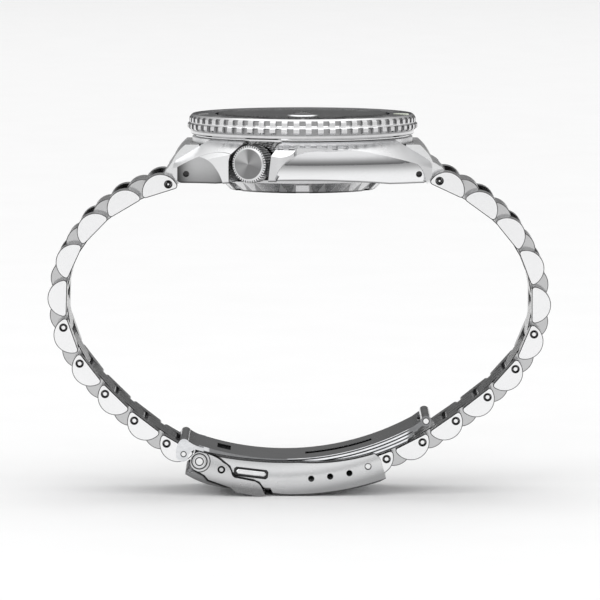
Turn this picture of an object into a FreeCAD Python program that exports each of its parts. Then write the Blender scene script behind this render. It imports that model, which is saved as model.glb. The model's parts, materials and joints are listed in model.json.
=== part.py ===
import FreeCAD, Part
import math
import os
import Sketcher

V = FreeCAD.Vector
Rot = FreeCAD.Rotation
Pla = FreeCAD.Placement

# +Z is up through the dial, +Y points to 12 o'clock, +X to the crown side.
# The origin is the centre of the wrist opening.

SIZES = [
    ("case_half_length", 23.1), ("flank_radius", 40.0), ("flank_reach", 21.25),
    ("case_floor", 24.4), ("case_deck", 32.1), ("neck_top", 34.9), ("neck_radius", 17.4),
    ("shoulder_start", 19.6), ("shoulder_drop", 0.7), ("lug_gap", 22.0), ("barrel_radius", 19.85),
    ("back_bore", 15.2), ("movement_bore", 14.35), ("dial_bore", 14.9), ("crystal_bore", 15.6),
    ("back_seat", 25.8), ("dial_seat", 31.95), ("crystal_seat", 34.1),
    ("flank_inset", 0.12), ("flank_full", 27.6), ("flank_roll", 11.0),
    ("scoop_radius", 12.5), ("guard_reach", 22.6),
    ("crown_angle", -25.5), ("crown_floor", 18.6), ("crown_height", 28.1),
    ("crown_radius", 3.4), ("crown_face", 22.4), ("crown_back", 19.1), ("crown_bore", 1.35),
         ("crown_step", 0.35),
    ("tube_radius", 1.25), ("tube_bore", 0.75), ("stem_radius", 0.7), ("stem_inner", 11.2),
    ("back_radius", 15.1), ("back_foot", 13.1), ("back_low", 22.45), ("window_radius", 11.4),
    ("bezel_bore", 17.5), ("bezel_low", 32.42), ("bezel_rim", 36.0), ("bezel_lobe", 20.7),
    ("bezel_upper", 20.4), ("bezel_ring", 20.1), ("insert_seat", 35.15), ("insert_radius", 19.65),
    ("insert_bore", 15.75), ("rib_count", 60), ("rib_gap", 1.12), ("crystal_radius", 15.3),
    ("crystal_top", 36.15), ("lens_radius", 2.75), ("lens_rise", 0.75), ("lens_offset", 8.6),
    ("dial_radius", 14.7), ("dial_top", 32.5), ("movement_radius", 12.9),
    ("pitch", 7.13), ("link_chord", 6.62), ("link_height", 3.45), ("pin_height", 1.15),
    ("link_corner", 0.6), ("pin_radius", 0.4), ("pin_bore", 0.45), ("pin_ring", 0.6),
    ("band_half", 10.9), ("band_taper", 0.19), ("cheek_share", 0.425), ("row_gap", 0.08),
    ("edge_break", 0.14), ("barrel_end", 1.35), ("bar_radius", 0.75), ("bar_bore", 0.8), ("bar_tip", 0.45),
    ("start_up_y", 24.5), ("start_up_z", 24.5), ("start_up_angle", -25.0),
    ("start_low_y", -24.0), ("start_low_z", 23.9), ("start_low_angle", 197.5),
    ("lug_pin_y", 20.75), ("lug_pin_z", 26.0), ("lug_pin_radius", 0.5), ("lug_bar_tip", 12.2),
         ("lug_hole", 0.56),
    ("hook_y", -18.5), ("hook_z", -25.9), ("fold_y", 22.2), ("fold_z", -18.9),
    ("blade_center_y", -3.2), ("blade_center_z", 22.9), ("blade_radius", 48.6),
    ("blade_thick", 0.7), ("blade_gap", 0.15), ("blade_half", 8.8), ("eye_radius", 1.25),
    ("eye_bore", 0.7), ("hook_pin", 0.6), ("fold_eye", 0.96), ("fold_pin", 0.5),
    ("cover_half", 10.1), ("cover_wall", 0.8), ("cover_break", 0.3), ("lock_half", 11.0),
    ("lock_wall", 0.75), ("button_length", 6.1), ("button_height", 1.6),
]
TURNS_UP = [11, 15, 18, 21, 23, 19, 10, 3, 8, 7]
TURNS_LOW = [13, 15, 20, 23, 21, 18, 8, 7, 7]
OPEN_UP = (1, 6, 7, 8, 9, 10, 11)
OPEN_LOW = (1, 6, 7, 8, 9, 10)

doc = FreeCAD.newDocument("wristwatch")
sheet = doc.addObject("Spreadsheet::Sheet", "dims")
for row, (name, value) in enumerate(SIZES, 1):
    sheet.set("A%d" % row, name)
    sheet.set("B%d" % row, str(value))
    sheet.setAlias("B%d" % row, name)
for column, (name, turns) in zip("DF", (("turn_up", TURNS_UP), ("turn_low", TURNS_LOW))):
    for row, value in enumerate(turns, 1):
        word = "%s_%d" % (name, row)
        label_cell = "%s%d" % (column, row)
        value_cell = "%s%d" % (chr(ord(column) + 1), row)
        sheet.set(label_cell, word)
        sheet.set(value_cell, str(value))
        sheet.setAlias(value_cell, word)
doc.recompute()
nodes = {}
counter = [0]


def dim(name):
    return float(getattr(sheet, name))


def fresh(stem):
    counter[0] += 1
    return "%s_%03d" % (stem, counter[0])


def formula(text):
    """Puts the sheet's name before each alias in a formula."""
    words = []
    word = ""
    for char in text + " ":
        if char.isalnum() or char in "_.":
            word += char
            continue
        if word:
            known = word.replace(".", "").isdigit() or word in ("sqrt", "cos", "sin", "tan")
            words.append(word if known else "dims." + word)
            word = ""
        words.append(char)
    return "".join(words).strip()


def prim(kind, place=None, **sizes):
    obj = doc.addObject("Part::" + kind, fresh(kind.lower()))
    for prop, text in sizes.items():
        obj.setExpression(prop, formula(str(text)))
    if place:
        obj.Placement = place
    return obj


def tube(y, z, radius, low, high):
    """A cylinder along X through (y, z), from low to high."""
    obj = prim("Cylinder", Pla(V(0, y, z), Rot(V(0, 1, 0), 90)), Radius=radius)
    obj.setExpression("Height", formula("(%s) - (%s)" % (high, low)))
    obj.setExpression("Placement.Base.x", formula(str(low)))
    return obj


def post(x, y, radius, low, high):
    """A cylinder along Z."""
    obj = prim("Cylinder", Pla(V(x, y, 0), Rot()), Radius=radius)
    obj.setExpression("Height", formula("(%s) - (%s)" % (high, low)))
    obj.setExpression("Placement.Base.z", formula(str(low)))
    return obj


def cut(base, *tools):
    for tool in tools:
        step = doc.addObject("Part::Cut", fresh("cut"))
        step.Base = base
        step.Tool = tool
        base = step
    return base


def fuse(*shapes):
    obj = doc.addObject("Part::MultiFuse", fresh("fuse"))
    obj.Shapes = list(shapes)
    obj.Refine = True
    return obj


def common(one, two):
    obj = doc.addObject("Part::Common", fresh("common"))
    obj.Base = one
    obj.Tool = two
    return obj


def together(*shapes):
    obj = doc.addObject("Part::Compound", fresh("set"))
    obj.Links = list(shapes)
    return obj


def node(label, obj):
    obj.Label = label
    nodes[label] = obj
    return obj


def draw(sketch, path):
    """Draws a closed outline: a start, then points, or (middle, end) pairs for arcs."""
    first = path[0]
    last = first
    for step in path[1:] + [first]:
        if isinstance(step[0], tuple):
            middle, end = step
            arc = Part.Arc(V(*last, 0), V(*middle, 0), V(*end, 0))
            sketch.addGeometry(arc, False)
            last = end
        elif math.dist(last, step) > 1e-6:
            sketch.addGeometry(Part.LineSegment(V(*last, 0), V(*step, 0)), False)
            last = step
    return sketch


def outline(path, holes=()):
    """A free sketch in the YZ plane; holes are (y, z, radius alias)."""
    sketch = doc.addObject("Sketcher::SketchObject", fresh("outline"))
    sketch.Placement = Pla(V(0, 0, 0), Rot(V(1, 1, 1), 120))
    draw(sketch, path)
    for y, z, radius in holes:
        index = sketch.addGeometry(Part.Circle(V(y, z, 0), V(0, 0, 1), dim(radius)), False)
        number = sketch.addConstraint(Sketcher.Constraint("Radius", index, dim(radius)))
        sketch.setExpression("Constraints[%d]" % number, "dims." + radius)
    return sketch


def extrude(sketch, low, high):
    """Extrudes a YZ outline along X between two formulas."""
    obj = doc.addObject("Part::Extrusion", fresh("extrude"))
    obj.Base = sketch
    obj.DirMode = "Custom"
    obj.Dir = V(1, 0, 0)
    obj.Solid = True
    obj.setExpression("LengthFwd", formula("(%s)" % high))
    obj.setExpression("LengthRev", formula("0 - (%s)" % low))
    return obj


def turned(label, points):
    """A PartDesign body turned about Z from (radius, height) formulas."""
    body = doc.addObject("PartDesign::Body", fresh("turned"))
    sketch = body.newObject("Sketcher::SketchObject", fresh("section"))
    plane = [f for f in body.Origin.OriginFeatures if f.Role == "XZ_Plane"][0]
    sketch.AttachmentSupport = (plane, [""])
    sketch.MapMode = "FlatFace"
    values = [(evaluate(r), evaluate(z)) for r, z in points]
    for index, start in enumerate(values):
        end = values[(index + 1) % len(values)]
        sketch.addGeometry(Part.LineSegment(V(*start, 0), V(*end, 0)), False)
    for index in range(len(values)):
        after = (index + 1) % len(values)
        sketch.addConstraint(Sketcher.Constraint("Coincident", index, 2, after, 1))
    for index, (r, z) in enumerate(points):
        if r == "0":
            sketch.addConstraint(Sketcher.Constraint("PointOnObject", index, 1, -2))
        else:
            made = Sketcher.Constraint("DistanceX", -1, 1, index, 1, values[index][0])
            number = sketch.addConstraint(made)
            sketch.setExpression("Constraints[%d]" % number, formula(r))
        made = Sketcher.Constraint("DistanceY", -1, 1, index, 1, values[index][1])
        number = sketch.addConstraint(made)
        sketch.setExpression("Constraints[%d]" % number, formula(z))
    turn = body.newObject("PartDesign::Revolution", fresh("revolution"))
    turn.Profile = sketch
    turn.ReferenceAxis = (sketch, ["V_Axis"])
    turn.Angle = 360.0
    body.Tip = turn
    if label:
        node(label, body)
    return body


def evaluate(text):
    """The number that a formula of aliases gives."""
    total = 0.0
    sign = 1.0
    for word in text.replace("-", " - ").replace("+", " + ").split():
        if word in "+-":
            sign = 1.0 if word == "+" else -1.0
            continue
        total += sign * (float(word) if word.replace(".", "").isdigit() else dim(word))
        sign = 1.0
    return total


def edges_where(obj, test):
    doc.recompute()
    shape = obj.Shape
    return [i for i, edge in enumerate(shape.Edges, 1) if test(edge)]


def broken(obj, size, test):
    """Chamfers the edges that pass a test."""
    picked = edges_where(obj, test)
    step = doc.addObject("Part::Chamfer", fresh("chamfer"))
    step.Base = obj
    step.Edges = [(i, dim(size), dim(size)) for i in picked]
    return step


def rounded(obj, radius, test):
    picked = edges_where(obj, test)
    step = doc.addObject("Part::Fillet", fresh("fillet"))
    step.Base = obj
    step.Edges = [(i, radius, radius) for i in picked]
    return step


# The head: case, back, crystal, bezel, crown and what is inside.
def plan_prism(reach, half, low, high):
    """The case seen from above: two bowed flanks and flat ends."""
    bow = dim("flank_radius")
    side = reach - bow + math.sqrt(bow * bow - half * half)
    sketch = doc.addObject("Sketcher::SketchObject", fresh("plan"))
    draw(sketch, [(side, -half), ((reach, 0), (side, half)), (-side, half), ((-reach, 0), (-side, -half))])
    obj = doc.addObject("Part::Extrusion", fresh("plan_block"))
    obj.Base = sketch
    obj.DirMode = "Custom"
    obj.Dir = V(0, 0, 1)
    obj.Solid = True
    obj.setExpression("LengthFwd", formula(high))
    obj.setExpression("LengthRev", formula("0 - (%s)" % low))
    return obj


def flank_barrel():
    """The bowed block whose sides are the polished flanks, fullest at flank_full."""
    bow = dim("flank_radius")
    sections = []
    for z in (20.0, 23.0, 26.0, 28.6, 31.0, 34.0):
        roll = (z - dim("flank_full")) ** 2 / (2 * dim("flank_roll"))
        reach = dim("flank_reach") - dim("flank_inset") - roll
        side = reach - bow + math.sqrt(bow * bow - 26.0 * 26.0)
        sketch = doc.addObject("Sketcher::SketchObject", fresh("section"))
        sketch.Placement = Pla(V(0, 0, z), Rot())
        draw(sketch, [(side, -26), ((reach, 0), (side, 26)), (-side, 26), ((-reach, 0), (-side, -26))])
        sections.append(sketch)
    barrel = doc.addObject("Part::Loft", fresh("barrel"))
    barrel.Sections = sections
    barrel.Solid = True
    return barrel


def box(x, y, z):
    """A box between pairs of numbers."""
    obj = doc.addObject("Part::Box", fresh("box"))
    obj.Length = x[1] - x[0]
    obj.Width = y[1] - y[0]
    obj.Height = z[1] - z[0]
    obj.Placement = Pla(V(x[0], y[0], z[0]), Rot())
    return obj


def about_crown(obj):
    obj.Placement = Pla(V(), Rot(V(0, 0, 1), dim("crown_angle"))).multiply(obj.Placement)
    return obj


def case_middle():
    block = plan_prism(dim("flank_reach"), dim("case_half_length"), "case_floor", "case_deck")
    guard = about_crown(box((10, dim("guard_reach")), (-8.2, 8.2), (24.4, 32.1)))
    guard = rounded(guard, 2.6, lambda e: e.Length > 7.6 and abs(e.tangentAt(0).z) > 0.9
                    and e.BoundBox.Center.x > 16)
    neck = post(0, 0, "neck_radius", "case_floor", "neck_top")
    shape = fuse(block, guard, neck)
    cone = prim("Cone", Radius1="shoulder_start + 16.9 / shoulder_drop", Radius2="shoulder_start",
                Height=16.9)
    cone.Placement = Pla(V(0, 0, dim("case_deck") - 16.9), Rot())
    cap = fuse(cone, post(0, 0, "neck_radius", "case_deck", "neck_top"))
    shape = common(shape, cap)
    for side in (1, -1):
        half = dim("lug_gap") / 2
        gap = box((-half, half), sorted((side * 15, side * 30)), (20, 33))
        keep = post(0, 0, "barrel_radius", "case_floor - 5", "case_deck + 1")
        shape = cut(shape, cut(gap, keep))
        belly = outline([(side * 23.2, 24.0), (side * 23.2, 25.9),
                         ((side * 22.6, 25.0), (side * 21.6, 24.4)),
                         (side * 21.4, 24.0)])
        shape = cut(shape, extrude(belly, "0 - flank_reach - 2", "flank_reach + 2"))
        tip = outline([(side * 23.6, 29.5), (side * 22.3, 28.5),
                       ((side * 22.95, 27.7), (side * 23.1, 26.6)),
                       (side * 23.6, 26.6)])
        shape = cut(shape, extrude(tip, "0 - flank_reach - 2", "flank_reach + 2"))
    arch = outline([(-15.5, 24.0), (-15.5, 24.4), ((0, 25.2), (15.5, 24.4)), (15.5, 24.0)])
    shape = cut(shape, extrude(arch, "0 - flank_reach - 4", "flank_reach + 4"))
    recess = extrude(outline([(-3.68, 23.0), (-3.68, 28.6), (-3.42, 29.6), (-2.8, 30.6), (-2.15, 31.4),
                              (-2.0, 33.0),
                              (4.95, 33.0), (4.85, 31.3), (3.95, 24.4), (3.9, 23.0)]), "crown_floor", "26")
    shape = cut(shape, about_crown(recess))
    facet = flank_barrel()
    long_lens = [(-3.9, 24.2), (-4.9, 25.6), ((-4.3, 27.0), (-2.9, 28.7)), ((-0.2, 30.1), (4.5, 30.5)),
                 ((12.0, 30.2), (17.4, 28.9)), ((20.8, 27.5), (22.0, 24.6)), (21.6, 24.2)]
    near = cut(extrude(outline(long_lens), "9", "flank_reach + 4"), facet)
    far_lens = [(-21.6, 24.2), (-22.0, 24.6), ((-20.8, 27.5), (-17.4, 28.9)), ((0.0, 30.6), (17.4, 28.9)),
                ((20.8, 27.5), (22.0, 24.6)), (21.6, 24.2)]
    far = cut(extrude(outline(far_lens), "0 - flank_reach - 4", "0 - 9"), facet)
    shape = cut(shape, near, far)
    scoop = post(26.99, -22.36, "scoop_radius", "case_floor - 1", "case_deck")
    arch_line = [(-24.0, 24.2), (-24.0, 26.0), (-22.85, 26.6), ((-21.3, 28.4), (-18.8, 29.1)),
                 ((-16.8, 28.6), (-15.5, 27.3)), ((-14.6, 25.8), (-14.1, 24.2))]
    shape = cut(shape, common(scoop, extrude(outline(arch_line), "9", "flank_reach + 4")))
    shape = cut(shape, post(0, 0, "back_bore", "case_floor - 1", "back_seat"),
                post(0, 0, "movement_bore", "back_seat - 1", "dial_seat"),
                post(0, 0, "dial_bore", "dial_seat - 1", "crystal_seat"),
                post(0, 0, "crystal_bore", "crystal_seat - 1", "neck_top + 1"))
    bore = prim("Cylinder", Pla(V(10, 0, dim("crown_height")), Rot(V(0, 1, 0), 90)), Radius="tube_radius",
                Height=12)
    shape = cut(shape, about_crown(bore))
    for side, y in ((1, dim("lug_pin_y")), (-1, -dim("lug_pin_y"))):
        shape = cut(shape, tube(y, dim("lug_pin_z"), "lug_hole", "0 - 20", "20"))
    node("case_middle", shape)


def back_and_crystal():
    ring = turned("", [("window_radius", "back_low"), ("back_foot", "back_low"),
                       ("back_radius", "back_low + 1.85"), ("back_radius", "back_seat - 0.05"),
                       ("movement_bore - 0.6", "back_seat - 0.05"),
                       ("movement_bore - 0.6", "back_low + 2.2"),
                       ("window_radius", "back_low + 2.2")])
    doc.recompute()
    whole = ring.Shape.Volume
    sketch = ring.newObject("Sketcher::SketchObject", "notch")
    plane = [f for f in ring.Origin.OriginFeatures if f.Role == "XZ_Plane"][0]
    sketch.AttachmentSupport = (plane, [""])
    sketch.MapMode = "FlatFace"
    draw(sketch, [(12.6, 22.2), (16.0, 22.2), (16.0, 23.95), (12.6, 23.95)])
    pocket = ring.newObject("PartDesign::Pocket", "opener_notch")
    pocket.Profile = sketch
    pocket.SideType = "Symmetric"
    pocket.Length = 2.4
    ring.Tip = pocket
    pattern = ring.newObject("PartDesign::PolarPattern", "notches")
    pattern.Originals = [pocket]
    pattern.Axis = ([f for f in ring.Origin.OriginFeatures if f.Role == "Z_Axis"][0], [""])
    pattern.Angle = 360
    pattern.Occurrences = 6
    ring.Tip = pattern
    doc.recompute()
    if whole - ring.Shape.Volume < 6.0:
        raise RuntimeError("the opener notches took no metal away")
    node("caseback_ring", ring)
    turned("caseback_window", [("0", "back_low + 0.25"), ("window_radius - 0.03", "back_low + 0.25"),
                               ("window_radius - 0.03", "back_low + 1.35"), ("0", "back_low + 1.35")])
    glass = turned("", [("0", "crystal_seat + 0.02"), ("crystal_radius", "crystal_seat + 0.02"),
                        ("crystal_radius", "crystal_top - 0.35"), ("crystal_radius - 0.3", "crystal_top"),
                        ("0", "crystal_top")])
    cap = dim("lens_radius")
    rise = dim("lens_rise")
    ball = (cap * cap + rise * rise) / (2 * rise)
    dome = prim("Sphere", Pla(V(dim("lens_offset"), 0, dim("crystal_top") + rise - ball), Rot()))
    dome.Radius = ball
    slab = post(dim("lens_offset"), 0, "lens_radius + 1", "crystal_top - 0.2", "crystal_top + 2")
    node("crystal", fuse(glass, common(dome, slab)))
    turned("crystal_gasket", [("crystal_radius + 0.02", "crystal_seat + 0.02"),
                              ("crystal_bore - 0.02", "crystal_seat + 0.02"),
                              ("crystal_bore - 0.02", "neck_top"), ("crystal_radius + 0.02", "neck_top")])
    turned("chapter_ring", [("dial_bore - 1.5", "dial_top + 0.35"), ("dial_bore - 1.5", "dial_top + 0.05"),
                            ("dial_bore - 0.03", "dial_top + 0.05"),
                            ("dial_bore - 0.03", "crystal_seat - 0.03"),
                            ("dial_bore - 0.4", "crystal_seat - 0.03")])


def bezel():
    body = turned("", [("bezel_bore", "bezel_low"), ("bezel_ring - 0.15", "bezel_low"),
                       ("bezel_ring", "bezel_low + 0.15"), ("bezel_ring", "bezel_low + 0.8"),
                       ("bezel_lobe - 0.2", "bezel_low + 0.95"), ("bezel_lobe", "bezel_low + 1.2"),
                       ("bezel_lobe", "bezel_low + 1.85"), ("bezel_upper - 0.05", "bezel_low + 2.15"),
                       ("bezel_upper", "bezel_low + 2.35"), ("bezel_upper", "bezel_low + 2.95"),
                       ("bezel_upper - 0.3", "bezel_low + 3.35"), ("bezel_upper - 0.55", "bezel_rim"),
                       ("insert_radius + 0.05", "bezel_rim"), ("insert_radius + 0.02", "insert_seat"),
                       ("bezel_bore", "insert_seat")])
    doc.recompute()
    whole = body.Shape.Volume
    sketch = body.newObject("Sketcher::SketchObject", "rib_windows")
    plane = [f for f in body.Origin.OriginFeatures if f.Role == "XZ_Plane"][0]
    sketch.AttachmentSupport = (plane, [""])
    sketch.MapMode = "FlatFace"
    draw(sketch, [(20.12, 33.26), (21.2, 33.26), (21.2, 34.4), (20.3, 34.4), (20.12, 34.2)])
    draw(sketch, [(20.0, 34.84), (20.15, 34.66), (21.2, 34.66), (21.2, 35.74), (20.2, 35.74), (20.0, 35.6)])
    pocket = body.newObject("PartDesign::Pocket", "rib_gaps")
    pocket.Profile = sketch
    pocket.SideType = "Symmetric"
    pocket.setExpression("Length", "dims.rib_gap")
    body.Tip = pocket
    pattern = body.newObject("PartDesign::PolarPattern", "ribs")
    pattern.Originals = [pocket]
    pattern.Axis = ([f for f in body.Origin.OriginFeatures if f.Role == "Z_Axis"][0], [""])
    pattern.Angle = 360
    pattern.Occurrences = int(dim("rib_count"))
    body.Tip = pattern
    doc.recompute()
    if whole - body.Shape.Volume < 20.0:
        raise RuntimeError("the rib windows took no metal away")
    node("bezel_ring", body)
    turned("bezel_insert", [("insert_bore", "insert_seat + 0.02"), ("insert_radius", "insert_seat + 0.02"),
                            ("insert_radius", "insert_seat + 0.6"), ("insert_bore", "insert_seat + 0.8")])
    ring = cut(post(0, 0, "bezel_bore + 1.9", "bezel_low - 0.28", "bezel_low - 0.12"),
               post(0, 0, "bezel_bore + 0.02", "bezel_low - 1", "bezel_low + 1"))
    node("bezel_click_spring", ring)


def dial_and_hands():
    top = dim("dial_top")
    plate = cut(post(0, 0, "dial_radius", "dial_top - 0.4", "dial_top"),
                post(0, 0, "0.9", "dial_top - 1", "dial_top + 1"),
                box((7.2, 10.4), (-1.15, 1.15), (top - 1, top + 1)))
    node("dial", plate)
    marks = []
    for hour in range(12):
        if hour == 3:
            continue
        angle = 90 - 30 * hour
        reach = 12.2
        if hour % 3 == 0:
            mark = box((10.2, 13.2), (-0.75, 0.75), (top + 0.01, top + 0.32))
            mark.Placement = Pla(V(), Rot(V(0, 0, 1), angle)).multiply(mark.Placement)
        else:
            turn = math.radians(angle)
            mark = post(reach * math.cos(turn), reach * math.sin(turn), "0.85", "dial_top + 0.01",
                        "dial_top + 0.3")
        marks.append(mark)
    node("hour_markers", together(*marks))
    turned("date_disc", [("dial_radius - 8.2", "dial_top - 0.8"), ("dial_radius - 1.0", "dial_top - 0.8"),
                         ("dial_radius - 1.0", "dial_top - 0.5"), ("dial_radius - 8.2", "dial_top - 0.5")])
    plans = (("hour_hand", 0.45, 0.25, 7.6, 1.0, 60.0, 0.6),
             ("minute_hand", 0.8, 0.22, 11.4, 0.8, -30.0, 0.45),
             ("seconds_hand", 1.12, 0.16, 12.6, 0.25, 165.0, 0.24))
    for name, lift, thick, reach, wide, angle, bore in plans:
        low = top + lift
        path = [(0.4, -wide * 0.45), (reach * 0.55, -wide / 2), (reach * 0.8, -wide / 2), (reach, 0),
                (reach * 0.8, wide / 2), (reach * 0.55, wide / 2), (0.4, wide * 0.45), (-3.2, wide * 0.3),
                (-3.2, -wide * 0.3)]
        sketch = doc.addObject("Sketcher::SketchObject", fresh("hand"))
        draw(sketch, path)
        blade = doc.addObject("Part::Extrusion", fresh("hand_blade"))
        blade.Base = sketch
        blade.DirMode = "Custom"
        blade.Dir = V(0, 0, 1)
        blade.Solid = True
        blade.LengthFwd = thick
        blade.Placement = Pla(V(0, 0, low), Rot(V(0, 0, 1), 90 - angle))
        hub = post(0, 0, str(bore + 0.75), str(low), str(low + thick))
        hand = cut(fuse(blade, hub), post(0, 0, str(bore), str(low - 1), str(low + 2)))
        node(name, hand)
    node("cannon_arbors", together(
        cut(post(0, 0, "0.58", "31.0", "dial_top + 0.7"), post(0, 0, "0.45", "30.0", "dial_top + 2")),
        cut(post(0, 0, "0.43", "31.0", "dial_top + 1.02"), post(0, 0, "0.25", "30.0", "dial_top + 2")),
        post(0, 0, "0.22", "31.0", "dial_top + 1.28")))


def gear(x, y, radius, teeth, low, high, spokes=5):
    wheel = post(x, y, str(radius), str(low), str(high))
    slots = []
    for index in range(teeth):
        turn = 2 * math.pi * index / teeth
        wide = math.pi * radius / teeth * 0.3
        slots.append(post(x + radius * math.cos(turn), y + radius * math.sin(turn), str(wide),
                          str(low - 1), str(high + 1)))
    for index in range(spokes):
        turn = 2 * math.pi * (index + 0.5) / spokes
        slots.append(post(x + radius * 0.55 * math.cos(turn), y + radius * 0.55 * math.sin(turn),
                          str(radius * 0.24), str(low - 1), str(high + 1)))
    return cut(wheel, together(*slots))


def movement():
    node("movement_holder", cut(post(0, 0, "movement_bore - 0.03", "26.6", "30.8"),
                                post(0, 0, "movement_radius + 0.03", "26", "32"),
                                about_crown(box((10, 16), (-1.6, 1.6), (26, 29.7)))))
    plate = cut(post(0, 0, "movement_radius", "28.9", "31.4"), post(-5.2, 5.6, "3.4", "28", "29.9"),
                about_crown(box((11.0, 14), (-1.0, 1.0), (28, 29.4))), post(0, 0, "0.62", "28", "32"))
    node("mainplate", plate)
    barrel = [gear(-5.2, 5.6, 3.3, 48, 28.95, 29.8, 0), post(-5.2, 5.6, "0.6", "28.13", "28.93")]
    wheels = [gear(0.6, 2.2, 2.3, 40, 28.2, 28.45), gear(4.2, 4.6, 2.0, 36, 28.2, 28.45),
              gear(6.6, 0.6, 1.8, 30, 28.2, 28.45)]
    arbors = [post(x, y, "0.2", "28.46", "28.88") for x, y in ((0.6, 2.2), (4.2, 4.6), (6.6, 0.6))]
    node("gear_train", together(*(wheels + arbors + barrel)))
    bridge = cut(post(0, 0, "movement_radius - 0.2", "26.9", "28.1"),
                 box((-14, 14), (-14, -1.6), (26, 29)), post(0, 0, "0.8", "26", "29"))
    node("train_bridge", together(bridge, post(0, 0, "1.6", "25.1", "26.88")))
    rim = cut(post(4.2, -5.8, "3.4", "27.4", "27.8"), post(4.2, -5.8, "2.85", "27", "28.5"))
    bar = box((1.1, 7.3), (-6.1, -5.5), (27.45, 27.75))
    node("balance_wheel", fuse(rim, bar, post(4.2, -5.8, "0.45", "26.9", "28.85")))
    coil = []
    for turn in range(4):
        radius = 0.9 + turn * 0.55
        coil.append(cut(post(4.2, -5.8, str(radius + 0.09), "27.9", "28.15"),
                        post(4.2, -5.8, str(radius), "27.8", "28.3")))
    node("hairspring", together(*coil))
    cock = cut(fuse(box((3.4, 6.1), (-10.6, -5.0), (26.0, 26.8)), post(5.4, -10.2, "0.9", "26.0", "28.85")),
               post(4.2, -5.8, "0.2", "25", "28"))
    node("balance_cock", cock)
    disc = cut(post(0, 0, "12.4", "25.2", "25.6"), post(0, 0, "1.65", "25", "26"))
    heavy = cut(post(0, 0, "12.4", "24.85", "25.2"), post(0, 0, "10.2", "24", "26"))
    trim = box((-14, 14), (-1.2, 14), (24, 27))
    hub = cut(post(0, 0, "3.0", "25.2", "25.6"), post(0, 0, "1.65", "25", "26"))
    node("winding_rotor", fuse(cut(disc, trim), cut(heavy, trim), hub))


def crown_set():
    face = dim("crown_face")
    back = dim("crown_back")
    high = dim("crown_height")
    turn = Rot(V(0, 1, 0), 90)
    head = prim("Cylinder", Pla(V(back, 0, high), turn), Radius="crown_radius",
                Height="crown_face - crown_back - crown_step")
    head = rounded(head, 0.2, lambda e: e.BoundBox.XLength < 0.01 and e.BoundBox.Center.x > back + 1)
    boss = prim("Cylinder", Pla(V(back + 1, 0, high), turn), Radius="crown_radius - 0.5",
                Height="crown_face - crown_back - 1")
    boss = rounded(boss, 0.16, lambda e: e.BoundBox.XLength < 0.01 and e.BoundBox.Center.x > back + 2)
    head = fuse(head, boss)
    flutes = []
    for index in range(44):
        angle = 2 * math.pi * index / 44
        radius = dim("crown_radius") + 0.06
        flutes.append(prim("Cylinder", Pla(V(back - 0.1, radius * math.sin(angle),
                                             high + radius * math.cos(angle)), turn), Radius=0.2,
                           Height=3.2))
    well = prim("Cylinder", Pla(V(back - 1, 0, high), turn), Radius="crown_bore", Height=3.0)
    crown = cut(head, together(*flutes), well)
    node("crown", about_crown(crown))
    pipe = cut(prim("Cylinder", Pla(V(14.6, 0, high), turn), Radius="tube_radius - 0.02", Height=5.9),
               prim("Cylinder", Pla(V(13, 0, high), turn), Radius="tube_bore", Height=9))
    node("crown_tube", about_crown(pipe))
    stem = prim("Cylinder", Pla(V(dim("stem_inner"), 0, high), turn), Radius="stem_radius")
    stem.setExpression("Height", "dims.crown_back + 1.98 - dims.stem_inner")
    node("winding_stem", about_crown(stem))


def lug_parts():
    bars = []
    for label, side, ay, az in (("12", 1, dim("start_up_y"), dim("start_up_z")),
                                ("6", -1, dim("start_low_y"), dim("start_low_z"))):
        y = side * dim("lug_pin_y")
        bars.append(fuse(tube(y, dim("lug_pin_z"), "lug_pin_radius", "0 - lug_bar_tip", "lug_bar_tip"),
                         tube(y, dim("lug_pin_z"), "bar_radius", "0 - 10.5", "10.5")))
        path = [(side * 18.5, 31.0), (side * 20.95, 31.0), ((side * 22.3, 29.6), (side * 23.3, 27.9)),
                ((ay + side * 0.55, az + 2.15), (ay + side * 1.45, az + 0.75)),
                ((ay + side * 1.55, az - 0.2), (ay + side * 1.1, az - 1.2)), (ay - side * 0.6, az - 1.15),
                (side * 21.3, 24.5), (side * 18.5, 24.8)]
        block = extrude(outline(path), "0 - lug_gap / 2 + 0.05", "lug_gap / 2 - 0.05")
        wide = dim("band_half") * (1 - dim("cheek_share")) + 0.02
        hollow = cut(tube(ay, az, "2.12", "0 - 12", "12"), tube(ay, az, "3", str(-wide), str(wide)))
        over = box((-12, 12), sorted((ay + side * 0.2, ay + side * 4)), (az - 4, az + 4))
        over = cut(over, tube(ay, az, "6", str(-wide), str(wide)))
        inner = post(0, 0, "barrel_radius + 0.1", "20", "34")
        link = cut(block, inner, hollow, over, tube(ay, az, "pin_bore", "0 - 12", "12"),
                   tube(y, dim("lug_pin_z"), "bar_bore", "0 - 12", "12"))
        node("end_link_" + label, link)
    node("lug_spring_bars", together(*bars))


# The bracelet units.
def dee(holes):
    """The half-moon link section, hinge point at the origin, the next one a half pitch on."""
    chord = dim("link_chord")
    tall = dim("link_height")
    radius = (chord * chord / 4 + tall * tall) / (2 * tall)
    corner = dim("link_corner")
    middle = dim("pitch") / 4
    flat = -dim("pin_height")
    center = flat + tall - radius
    reach = math.sqrt((radius - corner) ** 2 - (corner - (tall - radius)) ** 2)
    scale = radius / (radius - corner)
    top = center + (flat + corner - center) * scale
    wide = reach * scale
    bend = corner * math.cos(math.radians(38))
    path = [(middle - reach, flat), (middle + reach, flat),
            ((middle + reach + bend, flat + corner - corner * math.sin(math.radians(38))),
             (middle + wide, top)),
            ((middle, flat + tall), (middle - wide, top)),
            ((middle - reach - bend, flat + corner - corner * math.sin(math.radians(38))),
             (middle - reach, flat))]
    return outline(path, holes)


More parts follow.
